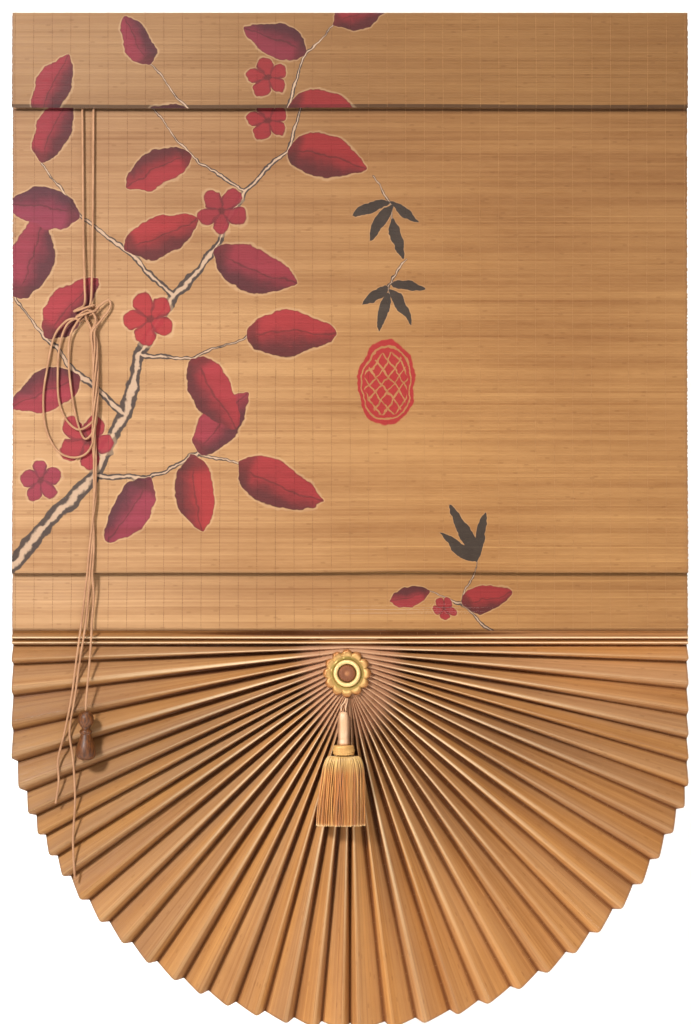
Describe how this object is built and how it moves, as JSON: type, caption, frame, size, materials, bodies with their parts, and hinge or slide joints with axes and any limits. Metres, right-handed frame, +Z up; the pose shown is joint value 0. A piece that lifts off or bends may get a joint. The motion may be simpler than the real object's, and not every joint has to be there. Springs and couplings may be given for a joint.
{
  "type": "bamboo roman blind with fan foot",
  "caption": "Split-bamboo window blind: a valance over a panel with a Roman fold, a pleated half-round fan foot with rosette and tassel, and pull cords with a turned knob.",
  "frame": {"origin": "middle of the top edge, in the wall plane, where the blind is held up", "axes": "+X right across the blind as seen from the front, +Y into the wall, +Z up; the front faces -Y"},
  "size_m": [0.8, 0.0447, 1.2036],
  "materials": {
    "bamboo": "split-bamboo cloth, matte",
    "bamboo_dark": "split-bamboo cloth, darker, matte",
    "bamboo_pleat": "split-bamboo cloth in pressed pleats",
    "gold_braid": "gold lurex braid, satin",
    "gold_ring": "ring bound with bright gold thread",
    "button_cloth": "cloth-covered button",
    "satin_thread": "satin-wound thread",
    "gold_strand": "glossy rayon strands",
    "cord": "twisted cotton cord, matte",
    "turned_wood": "dark turned wood, varnished",
    "guide_wood": "plain wood, sanded"
  },
  "bodies": {
    "root": {"valance": "bamboo_dark", "panel": "bamboo", "fan": "bamboo_pleat", "rosette_petals": "gold_braid", "rosette_ring": "gold_ring", "rosette_button": "button_cloth", "tassel_thread": "satin_thread", "tassel_neck": "satin_thread", "tassel_collar": "gold_braid", "tassel_skirt": "gold_strand", "cord_guide": "guide_wood", "pull_cord_top_left": "cord", "pull_cord_top_right": "cord", "cord_hank": "cord", "pull_cord_to_knob": "cord", "pull_cord_tail_long": "cord", "pull_cord_tail_short": "cord", "cord_knob": "turned_wood"}
  },
  "joints": []
}
